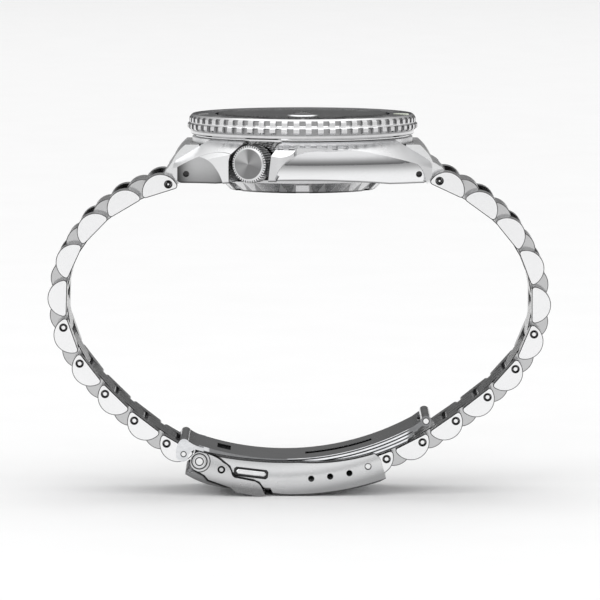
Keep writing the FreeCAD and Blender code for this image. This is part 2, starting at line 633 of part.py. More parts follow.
def bracelet(prefix, side, start, angle, turns, open_units):
    half = dim("pitch") / 2
    sections = {"blind": dee([]), "ring": dee([(0, 0, "pin_ring")]),
                "bead": dee([(0, 0, "pin_bore"), (half, 0, "pin_bore")])}
    last_hole = "bar_bore" if side > 0 else "pin_bore"
    sections["last"] = dee([(0, 0, "pin_ring"), (half, 0, last_hole)])
    y, z = start
    count = len(turns) + 1
    ends = []
    for index in range(1, count + 1):
        final = index == count
        edge = "band_half - %d * band_taper" % (index - 1)
        wide = dim("band_half") - (index - 1) * dim("band_taper")
        split = wide * (1 - dim("cheek_share"))
        kind = "last" if final else ("ring" if index in open_units else "blind")
        solids = []
        for low, high in ((split + dim("row_gap"), wide), (-wide, -split - dim("row_gap"))):
            cheek = doc.addObject("Part::Extrusion", fresh("cheek"))
            cheek.Base = sections[kind]
            cheek.DirMode = "Custom"
            cheek.Dir = V(1, 0, 0)
            cheek.Solid = True
            cheek.setExpression("LengthFwd", formula("(%s) * cheek_share - row_gap" % edge))
            outer = low > 0
            cheek = broken(cheek, "edge_break", lambda e: e.BoundBox.XLength < 1e-4 and e.Length > 1.0
                           and not (e.Curve.TypeId == "Part::GeomCircle" and e.Closed)
                           and (e.BoundBox.XMin > 1) == outer)
            cheek.Placement = Pla(V(low, 0, 0), Rot())
            solids.append(cheek)
        pin_half = wide - 0.12 if kind in ("ring", "last") else split + dim("row_gap")
        solids.append(tube(0, 0, "pin_radius", str(round(-pin_half, 4)), str(round(pin_half, 4))))
        if final:
            inside = str(round(split + dim("row_gap") - 0.02, 4))
            barrel = cut(tube(half, 0, "barrel_end", "0 - " + inside, inside),
                         tube(half, 0, last_hole, "0 - 12", "12"))
            solids.append(barrel)
        else:
            inside = str(round(split + dim("row_gap"), 4))
            solids.append(tube(half, 0, "pin_radius", "0 - " + inside, inside))
            bend = turns[index - 1] / 2.0
            third = split * 2 / 3
            for row in range(3):
                bead = doc.addObject("Part::Extrusion", fresh("bead"))
                bead.Base = sections["bead"]
                bead.DirMode = "Custom"
                bead.Dir = V(1, 0, 0)
                bead.Solid = True
                bead.LengthFwd = third - 0.06
                bead = broken(bead, "edge_break", lambda e: e.BoundBox.XLength < 1e-4 and e.Length > 1.0
                              and not (e.Curve.TypeId == "Part::GeomCircle" and e.Closed))
                bead.Placement = Pla(V(-split + third * row + 0.03, half, 0), Rot(V(1, 0, 0), -bend))
                solids.append(bead)
        unit = together(*solids)
        turn = Rot(V(1, 0, 0), angle) if side > 0 else \
            Rot(V(1, 0, 0), angle - 180).multiply(Rot(V(0, 0, 1), 180))
        unit.Placement = Pla(V(0, y, z), turn)
        node("%s_%02d" % (prefix, index), unit)
        ends.append((round(y, 4), round(z, 4)))
        y += half * math.cos(math.radians(angle))
        z += half * math.sin(math.radians(angle))
        if not final:
            bend = angle - side * turns[index - 1] / 2.0
            y += half * math.cos(math.radians(bend))
            z += half * math.sin(math.radians(bend))
            angle -= side * turns[index - 1]
    ends.append((round(y, 4), round(z, 4)))
    return ends


# The folding clasp.
def on_arc(y, radius):
    return dim("blade_center_z") - math.sqrt(radius * radius - (y - dim("blade_center_y")) ** 2)


def arc_band(low, high, outer, inner):
    """A curved strip between two y values and two radii about the blades' centre."""
    mid = (low + high) / 2.0
    return [(low, on_arc(low, outer)), ((mid, on_arc(mid, outer)), (high, on_arc(high, outer))),
            (high, on_arc(high, inner)), ((mid, on_arc(mid, inner)), (low, on_arc(low, inner)))]


def blades(end_pin):
    near = dim("blade_radius")
    thick = dim("blade_thick")
    fold = (dim("fold_y"), dim("fold_z"))
    hook = (dim("hook_y"), dim("hook_z"))
    inner = extrude(outline(arc_band(-18.6, 21.2, near + thick, near)), "0 - blade_half", "blade_half")
    ey, ez = end_pin
    ear = [(ey + 2.2, ez + 0.85), ((ey + 0.9, ez - 0.2), (ey + 0.75, ez - 0.95)),
           ((ey - 0.35, ez - 1.35), (ey - 1.3, ez - 0.6)), ((ey - 1.35, ez + 0.4), (ey - 0.75, ez + 2.3)),
           ((ey + 0.1, ez + 2.75), (ey + 0.9, ez + 2.3)), ((ey + 2.1, ez + 1.6), (ey + 3.6, ez + 1.15)),
           (ey + 3.6, ez + 0.45)]
    span = dim("band_half") - 9 * dim("band_taper") + 0.08
    ears = extrude(outline(ear), "0 - %s" % round(span + 0.8, 3), str(round(span + 0.8, 3)))
    ears = cut(ears, extrude(outline([(ey - 4, ez - 4), (ey + 1.95, ez - 4), (ey + 1.95, ez + 4),
                                      (ey - 4, ez + 4)]), "0 - %s" % round(span, 3), str(round(span, 3))))
    roof = extrude(outline([(ey - 0.62, ez + 1.75), (ey - 0.75, ez + 2.3),
                            ((ey + 0.1, ez + 2.75), (ey + 0.9, ez + 2.3)),
                            ((ey + 2.1, ez + 1.6), (ey + 3.6, ez + 1.15)), (ey + 3.6, ez + 0.45),
                            ((ey + 1.9, ez + 0.95), (ey + 0.5, ez + 1.75))]),
                   "0 - %s" % round(span + 0.01, 3), str(round(span + 0.01, 3)))
    knuckle = cut(fuse(tube(fold[0], fold[1], "fold_eye", "0 - blade_half", "blade_half"),
                       extrude(outline([(20.4, on_arc(20.4, near + thick)), (fold[0], fold[1] - 0.4),
                                        (fold[0] + 0.6, fold[1] + 0.7), (21.5, on_arc(21.5, near) + 0.25),
                                        (20.0, on_arc(20.0, near))]), "0 - blade_half", "blade_half")),
                  tube(fold[0], fold[1], "1.35", "0 - 4.1", "4.1"))
    window = box((-3.4, 3.4), (-15.4, -13.0), (-30, -20))
    long_slot = box((-1.5, 1.5), (0.5, 12.5), (-30, -20))
    inner = cut(fuse(inner, ears, roof, knuckle), window, long_slot,
                tube(ey, ez, "pin_radius", "0 - 14", "14"),
                tube(fold[0], fold[1], "fold_pin", "0 - 12", "12"))
    inner = cut(inner, tube(fold[0], fold[1], "1.45", "0 - 4.1", "4.1"))
    node("clasp_inner_blade", inner)
    pin_reach = str(round(span + 0.7, 3))
    node("clasp_hinge_pins", together(tube(ey, ez, "pin_radius - 0.005", "0 - " + pin_reach, pin_reach),
                                      tube(fold[0], fold[1], "fold_pin - 0.005", "0 - blade_half + 0.08",
                                           "blade_half - 0.08")))
    low = near + thick + dim("blade_gap")
    strip = extrude(outline(arc_band(-15.4, 20.9, low + thick, low)), "0 - blade_half", "blade_half")
    neck = outline([(-14.6, on_arc(-14.6, low + thick)), (hook[0] - 0.1, hook[1] + 0.45),
                    (hook[0] - 0.1, hook[1] + 1.25), (-16.2, hook[1] + 0.85), (-14.6, on_arc(-14.6, low))])
    strap = extrude(neck, "0 - blade_half", "blade_half")
    eye = tube(hook[0], hook[1], "eye_radius", "0 - blade_half", "blade_half")
    fold_strap = extrude(outline([(20.4, on_arc(20.4, low + thick)), (fold[0], fold[1] - 0.7),
                                  (fold[0] + 0.5, fold[1]), (21.4, on_arc(21.4, low)),
                                  (20.4, on_arc(20.4, low))]), "0 - 3.9", "3.9")
    fold_ring = tube(fold[0], fold[1], "fold_eye", "0 - 3.9", "3.9")
    trim = cut(box((-9, 9), (19.8, 26), (-26, -14)), box((-3.9, 3.9), (15, 30), (-30, -10)))
    middle = cut(fuse(cut(strip, trim), strap, eye, fold_strap, fold_ring),
                 tube(fold[0], fold[1], "fold_pin + 0.05", "0 - 12", "12"),
                 tube(hook[0], hook[1], "eye_bore", "0 - 12", "12"),
                 box((-2.2, 2.2), (-10.5, 8.5), (-30, -20)))
    rails = [extrude(outline(arc_band(9.5, 18.9, low + thick + 0.5, low + 0.05)), a, b)
             for a, b in (("blade_half - 0.5", "blade_half"), ("0 - blade_half", "0 - blade_half + 0.5"))]
    node("clasp_middle_blade", fuse(middle, *rails))


def cover(bar):
    sy, sz = bar
    hook = (dim("hook_y"), dim("hook_z"))
    side = [(-17.1, -24.75), (-16.1, -24.75), ((-8.9, -25.75), (-0.5, -26.0)),
            ((6.8, -25.75), (12.2, -24.6)),
            ((13.5, -25.1), (14.2, -26.4)), (15.0, -29.1), (13.9, -29.7), ((6.0, -31.6), (-3.2, -32.2)),
            (-5.2, -32.0), (-5.6, -31.15), (-12.8, -30.5), (-12.95, -30.85),
            ((-17.2, -30.1), (-21.1, -28.3)),
            (-20.6, -27.9), ((-19.4, -27.7), (-19.85, -26.5)), ((-19.6, -24.95), (-18.4, -24.55))]
    shell = extrude(outline(side), "0 - cover_half", "cover_half")
    room = [(-22, -20), (-22, -27.6), ((-17.4, -29.25), (-12.9, -29.75)), (-5.4, -30.4),
            ((4.0, -30.9), (13.6, -28.9)),
            (16.5, -28.2), (16.5, -20)]
    shell = broken(shell, "cover_break", lambda e: e.BoundBox.XLength < 1e-4 and e.Length > 3.0
                   and abs(abs(e.BoundBox.Center.x) - dim("cover_half")) < 1e-3
                   and e.BoundBox.Center.y > -16)
    shell = cut(shell, extrude(outline(room), "0 - cover_half + cover_wall", "cover_half - cover_wall"))
    holes = [tube(sy, sz, "bar_tip + 0.07", "0 - 12", "12")]
    for dy, dz in ((-3.35, -1.2), (-6.8, -1.8), (-10.2, -2.2)):
        holes.append(tube(sy + dy, sz + dz, "bar_tip + 0.07", "0 - 12", "12"))
    slot = button_outline(0.05)
    holes.append(extrude(outline(slot), "0 - 12", "12"))
    holes.append(tube(hook[0], hook[1], "hook_pin", "0 - 12", "12"))
    node("clasp_cover", cut(shell, together(*holes)))
    node("clasp_pivot_pin", fuse(tube(hook[0], hook[1], "hook_pin - 0.005", "0 - lock_half - 0.15",
                                      "lock_half + 0.15"),
                                 tube(hook[0], hook[1], "0.95", "lock_half + 0.04", "lock_half + 0.3"),
                                 tube(hook[0], hook[1], "0.95", "0 - lock_half - 0.3",
                                      "0 - lock_half - 0.04")))
    node("clasp_spring_bar", fuse(tube(sy, sz, "bar_tip", "0 - 9.85", "9.85"),
                                  tube(sy, sz, "bar_radius", "0 - 8.8", "8.8")))


def button_outline(grow):
    """The push-button's slot, a rounded bar that leans with the cover."""
    cy, cz = -9.25, -28.1
    lean = math.radians(-6.7)
    long = dim("button_length") / 2 + grow
    tall = dim("button_height") / 2 + grow
    corner = 0.35
    points = []
    for u, v in ((-long, tall - corner), (-long, -tall + corner), (-long + corner, -tall),
                 (long - corner, -tall),
                 (long, -tall + corner), (long, tall - corner), (long - corner, tall),
                 (-long + corner, tall)):
        points.append((cy + u * math.cos(lean) - v * math.sin(lean),
                       cz + u * math.sin(lean) + v * math.cos(lean)))
    return points


def buttons():
    for label, sign in (("near", 1), ("far", -1)):
        solids = []
        for low, high, grow in ((9.1, 10.0, -0.3), (8.55, 9.15, 0.33)):
            low, high = sorted((sign * low, sign * high))
            solids.append(extrude(outline(button_outline(grow)),
                                  "0 + " + str(low) if low > 0 else "0 - %s" % -low,
                                  "0 + " + str(high) if high > 0 else "0 - %s" % -high))
        button = rounded(fuse(*solids), 0.3, lambda e: e.BoundBox.XLength < 1e-4
                         and abs(abs(e.BoundBox.Center.x) - 10.0) < 1e-3)
        node("clasp_button_" + label, button)


def safety_lock():
    hook = (dim("hook_y"), dim("hook_z"))
    arm = [(-18.5 + 0.73, -25.9 + 1.46), (-16.6, -24.75), ((-14.9, -25.6), (-14.2, -26.2)),
           ((-13.2, -27.0), (-12.75, -28.1)), ((-12.4, -28.7), (-11.7, -28.95)), (-8.9, -29.5),
           ((-7.9, -29.95), (-7.3, -30.8)), (-6.7, -31.95), ((-7.4, -32.2), (-9.0, -32.0)), (-11.85, -31.6),
           (-12.9, -30.65), (-16.9, -29.2), (-17.6, -28.35), (-19.5, -27.35),
           ((-20.13, -25.9), (-19.2, -24.43)), ((-18.5, -24.27), (-17.77, -24.44))]
    body = extrude(outline(arm), "0 - lock_half", "lock_half")
    inside = "lock_half - lock_wall"
    hollow = [(-22, -22), (-22, -31.8), (-12.35, -31.8), (-12.1, -30.85), (-7.0, -31.45), (-5.5, -31.5),
              (-5.5, -22)]
    body = cut(body, extrude(outline(hollow), "0 - (%s)" % inside, inside))
    body = cut(body, tube(hook[0], hook[1], "eye_bore", "0 - 13", "13"),
               tube(-14.56, -27.41, "0.62", "0 - 13", "13"))
    stud = [tube(-14.56, -27.41, "0.5", low, high) for low, high in
            (("lock_half - lock_wall + 0.02", "lock_half - 0.1"),
             ("0 - lock_half + 0.1", "0 - lock_half + lock_wall - 0.02"))]
    washers = [cut(tube(-14.56, -27.41, "0.61", low, high), tube(-14.56, -27.41, "0.5", "0 - 13", "13"))
               for low, high in (("lock_half - lock_wall + 0.02", "lock_half - 0.45"),
                                 ("0 - lock_half + 0.45", "0 - lock_half + lock_wall - 0.02"))]
    node("safety_lock", together(body, *(stud + washers)))


case_middle()
back_and_crystal()
bezel()
dial_and_hands()
movement()
crown_set()
lug_parts()
up = bracelet("link_12", 1, (dim("start_up_y"), dim("start_up_z")), dim("start_up_angle"),
              [dim("turn_up_%d" % n) for n in range(1, 11)], OPEN_UP)
low = bracelet("link_6", -1, (dim("start_low_y"), dim("start_low_z")), dim("start_low_angle"),
               [dim("turn_low_%d" % n) for n in range(1, 10)], OPEN_LOW)
blades(low[-1])
cover(up[-1])
buttons()
safety_lock()
doc.recompute()

failed = [o.Name for o in doc.Objects if "Invalid" in o.State or "Error" in o.State]
if failed:
    raise RuntimeError("failed objects: " + ", ".join(failed))
for label, obj in nodes.items():
    if obj.Shape.isNull() or not obj.Shape.isValid():
        raise RuntimeError("bad shape: " + label)
    if not obj.Shape.Solids:
        raise RuntimeError("no solid: " + label)
os.makedirs("parts", exist_ok=True)
for label, obj in nodes.items():
    obj.Shape.exportStep("parts/%s.step" % label)
    print(label, len(obj.Shape.Solids), round(obj.Shape.Volume, 2))
print("up", up)
print("low", low)
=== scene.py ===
import bmesh
import bpy
import json
import math
from mathutils import Matrix, Vector


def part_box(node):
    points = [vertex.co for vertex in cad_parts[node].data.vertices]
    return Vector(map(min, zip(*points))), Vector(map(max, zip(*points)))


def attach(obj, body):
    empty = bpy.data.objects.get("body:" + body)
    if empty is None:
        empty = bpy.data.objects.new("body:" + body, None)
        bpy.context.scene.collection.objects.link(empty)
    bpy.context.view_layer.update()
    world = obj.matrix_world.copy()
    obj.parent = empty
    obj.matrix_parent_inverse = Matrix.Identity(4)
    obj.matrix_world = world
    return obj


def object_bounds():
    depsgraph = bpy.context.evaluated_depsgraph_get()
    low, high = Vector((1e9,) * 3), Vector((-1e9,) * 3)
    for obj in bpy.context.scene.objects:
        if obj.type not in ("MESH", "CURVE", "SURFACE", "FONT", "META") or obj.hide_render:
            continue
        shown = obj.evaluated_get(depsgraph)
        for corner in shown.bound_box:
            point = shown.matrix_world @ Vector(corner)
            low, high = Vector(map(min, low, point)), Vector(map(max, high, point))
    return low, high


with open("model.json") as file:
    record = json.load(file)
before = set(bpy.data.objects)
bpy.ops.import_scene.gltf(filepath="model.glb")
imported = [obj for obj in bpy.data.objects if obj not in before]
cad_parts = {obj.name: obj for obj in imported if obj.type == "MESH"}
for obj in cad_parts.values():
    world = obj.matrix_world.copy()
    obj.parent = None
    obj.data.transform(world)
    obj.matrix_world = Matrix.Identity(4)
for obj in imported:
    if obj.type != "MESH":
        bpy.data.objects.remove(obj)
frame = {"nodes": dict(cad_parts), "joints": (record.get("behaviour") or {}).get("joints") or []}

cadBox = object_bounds()
nodes = frame["nodes"]
mm = 0.001
print("frame loaded")


class Value:
    def __init__(self, finish, socket):
        self.finish = finish
        self.socket = socket

    def math(self, kind, *others):
        made = self.finish.node("Math", {"operation": kind}, dict(enumerate([self, *others])))
        return Value(self.finish, made.outputs[0])

    def __add__(self, other):
        return self.math("ADD", other)

    def __sub__(self, other):
        return self.math("SUBTRACT", other)

    def __mul__(self, other):
        return self.math("MULTIPLY", other)

    def __truediv__(self, other):
        return self.math("DIVIDE", other)

    def __radd__(self, other):
        return self.math("ADD", other)

    def __rmul__(self, other):
        return self.math("MULTIPLY", other)

    def __rsub__(self, other):
        made = self.finish.node("Math", {"operation": "SUBTRACT"}, {0: other, 1: self})
        return Value(self.finish, made.outputs[0])

    def ramp(self, low, high):
        made = self.finish.node("MapRange", {"interpolation_type": "SMOOTHSTEP"},
                                {"Value": self, "From Min": low, "From Max": high})
        return Value(self.finish, made.outputs[0])

    def mix(self, first, second):
        made = self.finish.node("MapRange", {}, {"Value": self, "To Min": first, "To Max": second})
        return Value(self.finish, made.outputs[0])

    def blend(self, first, second):  # self picks between two values that may vary
        made = self.finish.node("Mix", {}, {0: self, 2: first, 3: second})
        return Value(self.finish, made.outputs[0])

    def times(self, shade):
        made = self.finish.node("VectorMath", {"operation": "SCALE"}, {0: self, "Scale": shade})
        return Value(self.finish, made.outputs[0])

    def colour(self, first, second):
        made = self.finish.node("Mix", {"data_type": "RGBA"}, {0: self, 6: (*first, 1), 7: (*second, 1)})
        return Value(self.finish, made.outputs[2])


class Finish:
    def __init__(self, name, **sockets):
        self.material = bpy.data.materials.new(name)
        self.material.use_nodes = True
        self.tree = self.material.node_tree
        self.shader = next(n for n in self.tree.nodes if n.type == "BSDF_PRINCIPLED")
        for key, value in sockets.items():
            self.put(key, value)

    def node(self, kind, settings, inputs):
        made = self.tree.nodes.new("ShaderNode" + kind)
        for key, value in settings.items():
            setattr(made, key, value)
        for key, value in inputs.items():
            if isinstance(value, Value):
                self.tree.links.new(value.socket, made.inputs[key])
            else:
                made.inputs[key].default_value = value
        return made

    def put(self, key, value):
        socket = self.shader.inputs[key.replace("_", " ")]
        if isinstance(value, Value):
            self.tree.links.new(value.socket, socket)
        elif isinstance(value, tuple) and len(value) == 3:
            socket.default_value = (*value, 1)
        else:
            socket.default_value = value

    def place(self):
        return Value(self, self.node("TexCoord", {}, {}).outputs["Object"])

    def axes(self, which="Object"):
        source = Value(self, self.node("TexCoord", {}, {}).outputs[which])
        parts = self.node("SeparateXYZ", {}, {0: source})
        return [Value(self, out) for out in parts.outputs]

    def vector(self, x, y, z):
        return Value(self, self.node("CombineXYZ", {}, {0: x, 1: y, 2: z}).outputs[0])

    def noise(self, where, scale, detail=3.0, rough=0.55):
        made = self.node("TexNoise", {},
                         {"Vector": where, "Scale": scale, "Detail": detail, "Roughness": rough})
        return Value(self, made.outputs[0])

    def stretched(self, x, y, z):
        parts = self.axes()
        return self.vector(parts[0] * x, parts[1] * y, parts[2] * z)

    def bump(self, height, distance, strength=1.0):
        made = self.node("Bump", {}, {"Height": height, "Distance": distance, "Strength": strength})
        self.put("Normal", Value(self, made.outputs[0]))

    def shade(self, amount):  # scales the colour that is already there
        base = Value(self, self.shader.inputs["Base Color"].links[0].from_socket)
        self.put("Base Color", base.times(amount))

    def dress(self, *names):
        for name in names:
            nodes[name].data.materials.clear()
            nodes[name].data.materials.append(self.material)
        return self


def angleRound(finish, x, y):  # angle about a centre, in turns
    return x.math("ARCTAN2", y) / (2 * math.pi)


def pit(look, axes, spot, inner, outer):  # painted shade: a dark ring in the gap round a pin that runs along X
    across = axes[1] - spot[1]
    up = axes[2] - spot[2]
    away = (across * across + up * up).math("SQRT")
    soft = 0.05 * mm
    return away.ramp(inner - soft, inner + soft) * away.ramp(outer + soft, outer - soft)


def steel(name, light, dark, gloss, satin, grain, depth, facing=None, streak=900.0, edge=None, pits=(),
          crown=None):
    look = Finish(name, Metallic=1.0)
    axes = look.axes()
    lines = look.noise(look.stretched(*grain), streak, 4.0, 0.7)
    cloud = look.noise(look.place(), 160.0, 3.0)
    flecks = look.noise(look.place(), 2600.0, 2.0)
    side = look.axes("Normal")[0].math("ABSOLUTE")
    tone = (lines * 0.6 + cloud * 0.25 + flecks * 0.15).ramp(0.25, 0.75)
    look.put("Base Color", tone.colour(dark, light))
    # painted shade: a dark outline on slanted faces such as chamfers
    if edge:
        look.shade((side.ramp(0.45, 0.55) * side.ramp(0.93, 0.85)).mix(1.0, edge))
    # painted shade: dark rings in the gaps round pins and in holes
    for spot, inner, outer in pits:
        look.shade(pit(look, axes, spot, inner, outer).mix(1.0, 0.02))
    worn = cloud.mix(-0.03, 0.03) + flecks.mix(-0.02, 0.02)
    brushed = lines.mix(satin * 0.84, satin * 1.16)
    if facing:
        polished = side.ramp(*facing)
        brushed = brushed + (gloss - brushed) * polished
        lines = lines * (1.0 - polished * 0.92)
    look.put("Roughness", brushed + worn)
    if crown:
        lines = lines * depth + crown(axes, side)
        look.bump(lines, 1.0)
    else:
        look.bump(lines, depth)
    return look


hinges = {joint["child"]: joint["pos_m"] for joint in frame["joints"] if "pos_m" in joint}
linkSteel = {"light": (0.9, 0.9, 0.905), "dark": (0.82, 0.822, 0.828), "gloss": 0.1, "satin": 0.2,
             "grain": (0.25, 4.0, 4.0), "depth": 8.0e-7, "facing": (0.75, 0.95), "edge": 0.13}


def linkLook(name):
    order = int(name[-2:])
    # painted shade: a dark ring round each link pin, nearly the whole hole on the first links
    ring = (hinges[name], (0.16 if order == 1 else 0.34) * mm, 0.76 * mm)
    look = steel("steel_" + name, pits=[ring] if order in (1, 6, 7, 8, 9, 10, 11) else [], **linkSteel)
    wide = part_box(name)[1][0]
    x, y, z = look.axes()
    spot = hinges[name]
    away = ((y - spot[1]) * (y - spot[1]) + (z - spot[2]) * (z - spot[2])).math("SQRT")
    # painted shade: bead faces between the cheeks darker, darkest near the pin
    inside = x.math("ABSOLUTE").ramp(wide * 0.62, wide * 0.6)
    side = look.axes("Normal")[0].math("ABSOLUTE").ramp(0.6, 0.9)
    beadShade = (away / (5.2 * mm)).ramp(0.35, 1.0).mix(0.2, 0.62)
    # painted shade: faces turned in towards the wrist darker
    turned = look.axes("Normal")
    inward = (turned[1] * y + turned[2] * z) / (y * y + z * z).math("SQRT")
    innerSideShade = inward.ramp(-0.3, -0.75).mix(1.0, 0.4)
    look.shade((inside * side).blend(1.0, beadShade) * innerSideShade)
    return look


for name in sorted(n for n in nodes if n.startswith("link_")):
    linkLook(name).dress(name)

endSteel = {"light": (0.84, 0.845, 0.85), "dark": (0.74, 0.745, 0.75), "gloss": 0.14, "satin": 0.26,
            "grain": (4.0, 0.3, 4.0), "depth": 9.0e-7, "facing": (0.75, 0.95)}
steel("endLinkSteel", **endSteel).dress("end_link_12", "end_link_6")


def caseLook():
    look = steel("caseSteel", (0.86, 0.863, 0.87), (0.8, 0.803, 0.81), 0.06, 0.33, (5.0, 0.25, 5.0),
                 2.0e-7, (0.35, 0.6))
    x, y, z = look.axes()
    side = look.axes("Normal")[0].math("ABSOLUTE").ramp(0.35, 0.6)
    near = x.ramp(10.0 * mm, 12.0 * mm)
    out = x.math("ABSOLUTE") + 18.75 * mm
    bow = (out * out + y * y).math("SQRT")
    facet = bow.ramp(39.94 * mm, 39.88 * mm) * side * y.ramp(-5.6 * mm, -4.8 * mm)
    dx = x - 26.99 * mm
    dy = y + 22.36 * mm
    reach = (dx * dx + dy * dy).math("SQRT")
    # painted shade in the crown recess, darkest at its edges and bottom
    scoop = reach.ramp(12.44 * mm, 12.47 * mm) * reach.ramp(12.56 * mm, 12.53 * mm) * near
    sweep = (y + 17.6 * mm) / (4.6 * mm)
    scoopShade = (sweep * sweep).ramp(0.0, 1.1).mix(0.6, 0.09) * z.ramp(24.0 * mm, 28.0 * mm).mix(0.6, 1.0)
    # painted reflection: a dark band across the middle height of the facet
    waist = (z - 27.9 * mm) / (1.1 * mm)
    band = (waist * waist * -1.0).math("EXPONENT") * facet
    lean = math.radians(-25.5)
    along = x * math.cos(lean) + y * math.sin(lean)
    across = y * math.cos(lean) - x * math.sin(lean)
    # painted shade: a dark knit-patterned patch on the case beside the crown
    pocket = along.ramp(19.2 * mm, 18.9 * mm) * along.ramp(17.6 * mm, 17.8 * mm)
    pocket = pocket * across.ramp(-4.0 * mm, -3.8 * mm) * across.ramp(5.0 * mm,
        4.9 * mm) * z.ramp(32.05 * mm, 31.9 * mm)
    knit = look.noise(look.vector((across + z) * 0.6, (across - z) * 3.0, 0.0), 900.0, 3.0)
    # painted shade: the case away from the guard facet darker towards +y, the facet itself slightly
    # lighter
    flankShade = y.ramp(-12.0 * mm, -6.0 * mm).mix(0.92, 0.78)
    # painted shade: dark lines along the foot of the case above the caseback and at the top under the
    # bezel
    sill = (y * y * (-0.8 / 240.25 / mm) + 25.2 * mm).math("MAXIMUM", 24.4 * mm)
    gapShade = ((z - sill).ramp(0.05 * mm, 0.4 * mm) * z.ramp(32.3 * mm, 32.1 * mm)).mix(0.2, 1.0)
    pocketShade = pocket.blend(1.0, knit.ramp(0.4, 0.62).mix(0.06, 0.5))
    shade = scoop.blend(1.0, scoopShade) * band.mix(1.0, 0.45) * facet.blend(flankShade, 1.02) * gapShade * pocketShade
    look.shade(shade)
    return look


caseLook().dress("case_middle")
coverMiddle = (-4.3 * mm, 23.06 * mm)
bladeMiddle = (-3.2 * mm, 22.9 * mm)


def crowned(middle, round):  # a side that bulges a little, so it shades like the real pressing
    def height(axes, side):
        y = axes[1] - coverMiddle[0]
        z = axes[2] - coverMiddle[1]
        off = (y * y + z * z).math("SQRT") - middle
        return off * off * (-0.5 / round) * side.ramp(0.9, 0.98)
    return height


barSpot = hinges["clasp_cover"]
hookSpot = hinges["safety_lock"]
studSpot = (0, -14.56 * mm, -27.41 * mm)
spares = [(0, barSpot[1] + dy * mm, barSpot[2] + dz * mm)
          for dy, dz in ((-3.35, -1.2), (-6.8, -1.8), (-10.2, -2.2))]
# pits and edge give painted shade: a dark ring round the spring bar, dark spare holes and dark outlines
# on chamfers
coverSteel = {"light": (0.76, 0.763, 0.77), "dark": (0.72, 0.723, 0.73), "gloss": 0.22, "satin": 0.26,
              "grain": (5.0, 0.12, 5.0), "depth": 1.5e-7, "streak": 1300.0, "edge": 0.2,
              "pits": [(barSpot, 0.3 * mm, 0.62 * mm)] + [(spot, -1.0, 0.56 * mm) for spot in spares],
              "crown": crowned(52.3 * mm, 0.007)}


def seam(look, trace, width):  # mask near a line of points in the side view, for painted shadow lines
    axes = look.axes()
    nearest = None
    for (ay, az), (by, bz) in zip(trace, trace[1:]):
        dy, dz = by - ay, bz - az
        span = (dy * dy + dz * dz) * mm
        along = (axes[1] - ay * mm) * (dy / span) + (axes[2] - az * mm) * (dz / span)
        along = along.math("MAXIMUM", 0.0).math("MINIMUM", 1.0)
        py = axes[1] - (along * (dy * mm) + ay * mm)
        pz = axes[2] - (along * (dz * mm) + az * mm)
        away = py * py + pz * pz
        nearest = nearest.math("MINIMUM", away) if nearest else away
    return nearest.math("SQRT").ramp(width * mm, width * 0.5 * mm)


def banked(look, middle, reach, low):  # painted shade: darker towards the long edges of a side
    x, y, z = look.axes()
    dy = y - coverMiddle[0]
    dz = z - coverMiddle[1]
    off = ((dy * dy + dz * dz).math("SQRT") - middle) / reach
    side = look.axes("Normal")[0].math("ABSOLUTE").ramp(0.6, 0.9)
    look.shade(side.blend(1.0, (off * off).ramp(0.1, 1.0).mix(1.0, low)))
    return look


# outlines along which painted shadow lines fall on the cover
lockTrace = [(-16.6, -24.75), (-14.9, -25.6), (-14.2, -26.2), (-13.2, -27.0), (-12.75, -28.1),
             (-11.7, -28.95), (-8.9, -29.5), (-7.9, -29.95), (-7.3, -30.8), (-6.7, -31.95)]
heelTrace = [(-19.5, -27.35), (-17.6, -28.35), (-16.9, -29.2), (-12.9, -30.65), (-12.3, -31.3)]


def coverLook():
    look = banked(steel("coverSteel", **coverSteel), 51.9 * mm, 2.9 * mm, 0.6)
    x, y, z = look.axes()
    flat = look.axes("Normal")[0].math("ABSOLUTE").ramp(0.6, 0.9)
    inner = x.math("ABSOLUTE").ramp(9.7 * mm, 9.5 * mm) * flat
    # painted shade: the lower heel of the cover darker
    heelShade = (z + 27.35 * mm + (y + 19.5 * mm) * 0.5).ramp(0.0, -0.3 * mm)
    heelShade = heelShade * y.ramp(-12.3 * mm, -12.9 * mm)
    # painted shadow: dark lines along the lock's outline and the heel; painted shade on the inner faces
    look.shade(seam(look, lockTrace, 0.42).mix(1.0, 0.03) * seam(look, heelTrace, 0.6).mix(1.0, 0.08)
               * inner.mix(1.0, 0.04) * (heelShade * flat).mix(1.0, 0.4))
    return look


coverLook().dress("clasp_cover")

# pits and edge give painted shade: dark rings on the pivot boss and round the snap stud, and dark
# outlines on chamfers
lockSteel = {"light": (0.72, 0.723, 0.73), "dark": (0.68, 0.683, 0.69), "gloss": 0.2, "satin": 0.26,
             "grain": (0.3, 0.5, 4.0), "depth": 1.5e-7, "streak": 1200.0, "edge": 0.3,
             "pits": [(hookSpot, 1.26 * mm, 1.48 * mm), (hookSpot, 1.84 * mm, 2.0 * mm),
                      (studSpot, 0.36 * mm, 0.7 * mm)],
             "crown": crowned(52.0 * mm, 0.012)}
banked(steel("lockSteel", **lockSteel), 51.2 * mm, 3.2 * mm, 0.4).dress("safety_lock")

# painted shade: darker steel than the other clasp parts for the dark inside of the clasp; pits paint dark
# rings round the hinge pins
bladeSteel = {"light": (0.5, 0.505, 0.515), "dark": (0.3, 0.305, 0.315), "gloss": 0.06, "satin": 0.1,
              "grain": (3.0, 0.4, 1.0), "depth": 4.0e-7,
              "pits": [(hinges["clasp_inner_blade"], 0.38 * mm, 0.56 * mm),
                       (hinges["clasp_middle_blade"], 0.4 * mm, 0.62 * mm)]}


